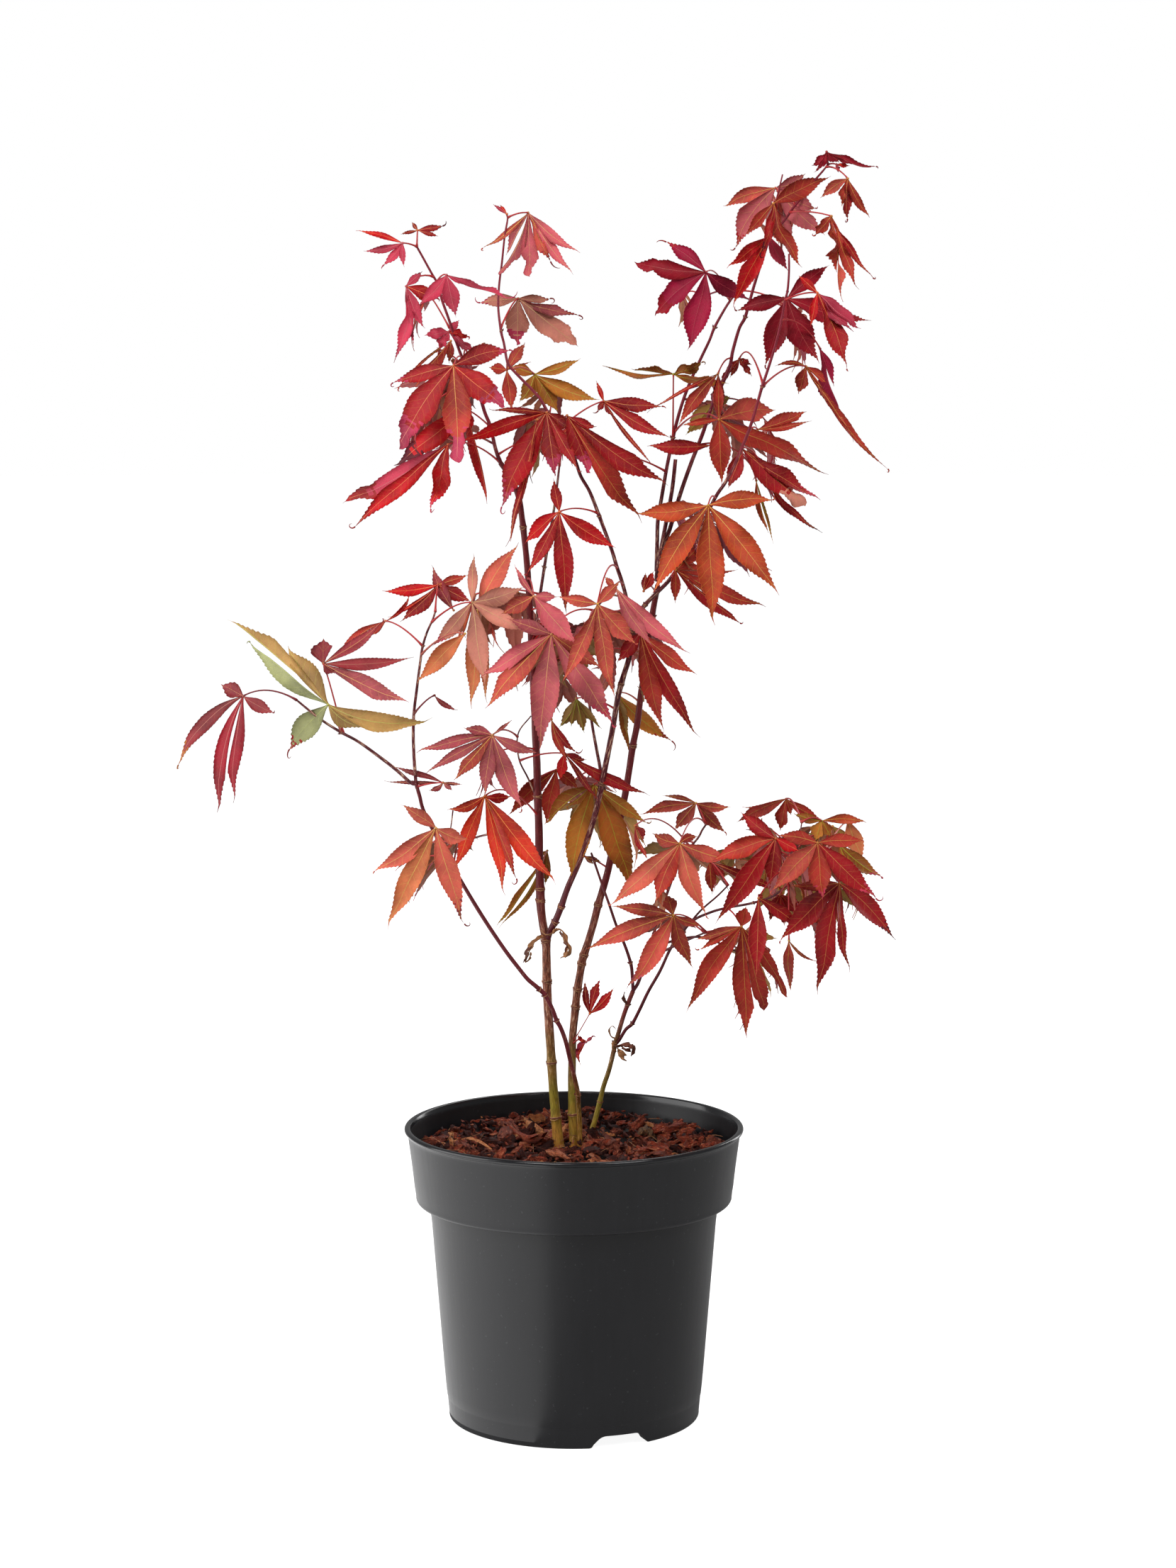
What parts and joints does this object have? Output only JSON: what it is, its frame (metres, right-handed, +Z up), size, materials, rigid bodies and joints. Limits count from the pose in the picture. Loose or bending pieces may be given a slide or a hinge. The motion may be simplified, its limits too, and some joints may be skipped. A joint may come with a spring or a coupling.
{
  "type": "potted japanese maple",
  "caption": "Young Japanese maple with red and bronze palm-shaped leaves on thin dark stems, in a round black nursery pot topped with bark chips.",
  "frame": {"origin": "centre of the pot's underside, on the surface that the pot stands on", "axes": "+Z up along the pot's axis, +Y to the back of the plant, +X to its right seen from the front"},
  "size_m": [0.3942, 0.2604, 0.7049],
  "materials": {
    "pot": "satin",
    "substrate": "matte",
    "bark": "matte",
    "young_bark": "satin",
    "leaf_brick": "matte",
    "leaf_crimson": "matte",
    "leaf_rose": "matte"
  },
  "bodies": {
    "root": {"pot": "pot", "substrate": "substrate", "stem_left": "bark", "stem_middle": "bark", "stem_right": "bark", "bough_left": "young_bark", "bough_centre": "young_bark", "bough_left_low": "young_bark", "bough_left_inner": "young_bark", "bough_right_inner": "young_bark", "bough_right_back": "young_bark", "bough_right_low": "young_bark", "bough_right_front": "young_bark", "bough_back": "young_bark", "shoot_top_left": "young_bark", "shoot_centre": "young_bark", "shoot_back_right": "young_bark", "shoot_tall_right": "young_bark", "shoot_front_right": "young_bark", "shoot_back": "young_bark", "stub_right": "young_bark", "foliage_top_left": "leaf_crimson", "foliage_peak": "leaf_brick", "foliage_upper_left": "leaf_rose", "foliage_upper_middle": "leaf_brick", "foliage_left_shoulder": "leaf_crimson", "foliage_centre": "leaf_rose", "foliage_heart": "leaf_brick", "foliage_back_middle": "leaf_brick", "foliage_back_upper": "leaf_brick", "foliage_left_outer": "leaf_rose", "foliage_left_low": "leaf_brick", "foliage_top_right": "leaf_brick", "foliage_right_upper": "leaf_brick", "foliage_right_middle": "leaf_crimson", "foliage_right_big": "leaf_rose", "foliage_right_low": "leaf_brick", "foliage_skirt": "leaf_brick", "foliage_sprout": "leaf_brick"}
  },
  "joints": []
}
